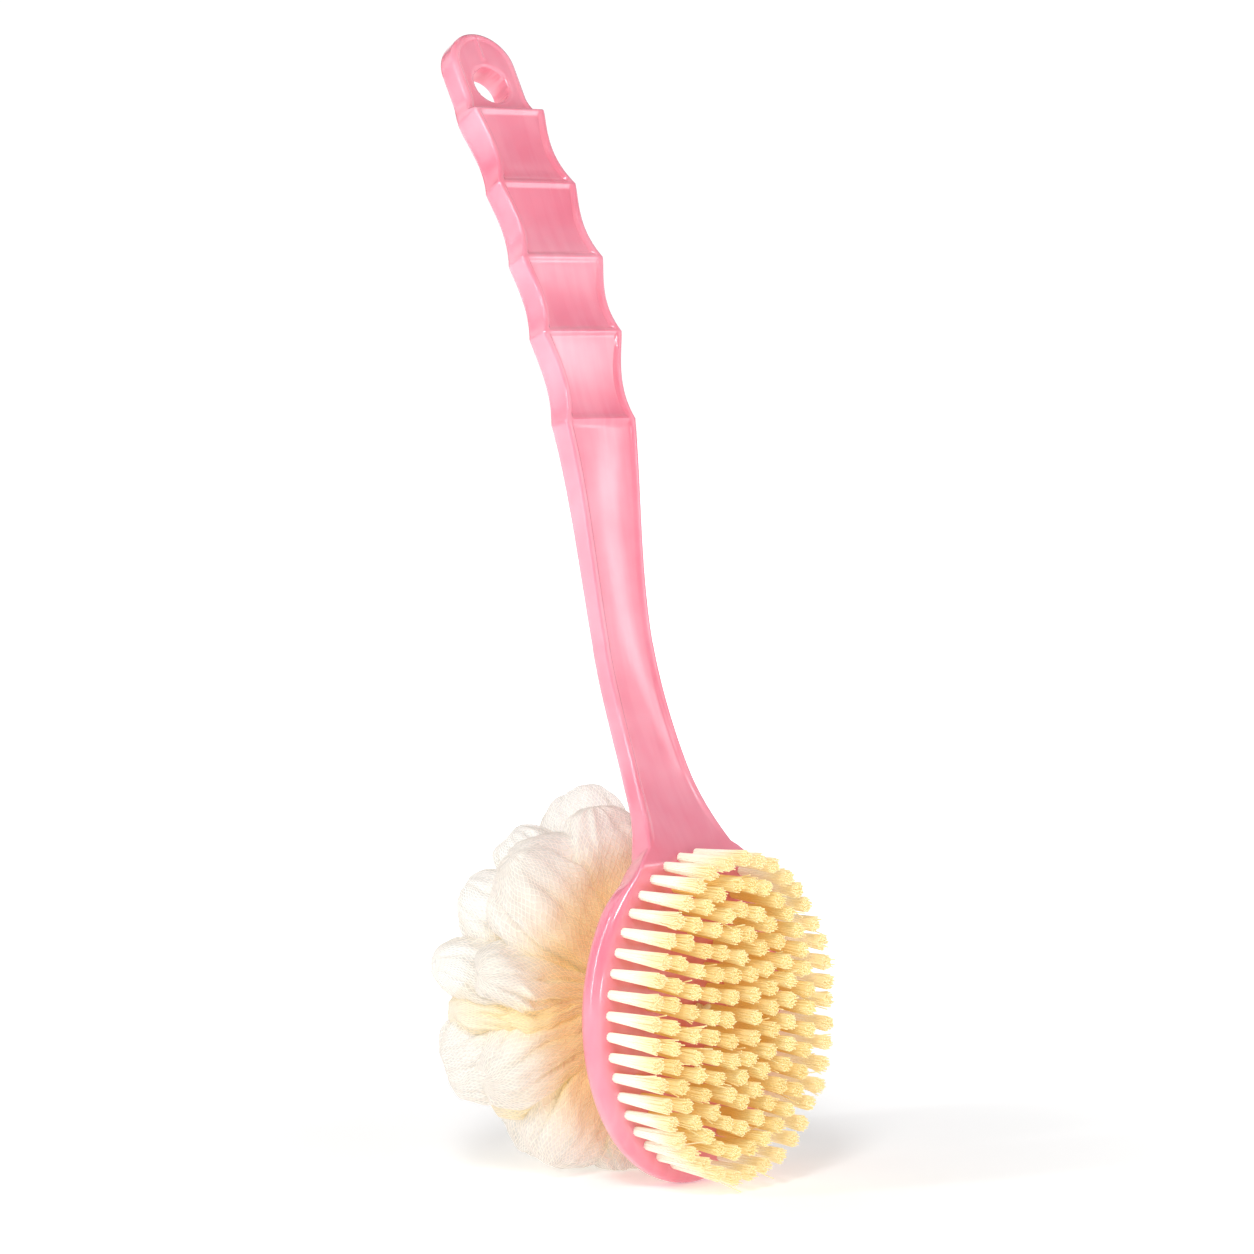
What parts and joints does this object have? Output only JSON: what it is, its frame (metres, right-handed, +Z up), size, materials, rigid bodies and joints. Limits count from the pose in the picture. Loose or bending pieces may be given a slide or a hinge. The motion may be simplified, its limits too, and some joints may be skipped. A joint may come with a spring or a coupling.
{
  "type": "back scrubber",
  "caption": "Long-handled bath back scrubber: moulded handle with finger rests and hanging eye, oval bristle head, and a netting pouf tied behind the head.",
  "frame": {"origin": "on the surface the brush stands on, under the middle of its bounding box", "axes": "+Z up along the standing brush, -Y the way the bristles face, +X across the head"},
  "size_m": [0.119, 0.1382, 0.3545],
  "materials": {
    "moulding": "glossy, slightly translucent pink moulding",
    "bristle": "cream filaments in tufts",
    "anchor": "plain flat metal anchors",
    "netting": "cream knitted bath netting",
    "cord": "twisted white cord"
  },
  "bodies": {
    "brush": {"handle": "moulding", "tuft_ring_1": "bristle", "tuft_ring_2": "bristle", "tuft_ring_3": "bristle", "tuft_ring_4": "bristle", "tuft_ring_5": "bristle", "anchor_ring_1": "anchor", "anchor_ring_2": "anchor", "anchor_ring_3": "anchor", "anchor_ring_4": "anchor", "anchor_ring_5": "anchor"},
    "pouf": {"netting_front": "netting", "netting_middle": "netting", "netting_rear": "netting", "netting_core": "netting", "tie_cord": "cord", "tie_knot": "cord"}
  },
  "joints": [
    {"name": "pouf_swivel", "type": "hinge", "parent": "brush", "child": "pouf", "pos_m": [0, -0.023, 0.05375], "axis": [0, 1, 0], "range_deg": [-30, 30]}
  ]
}
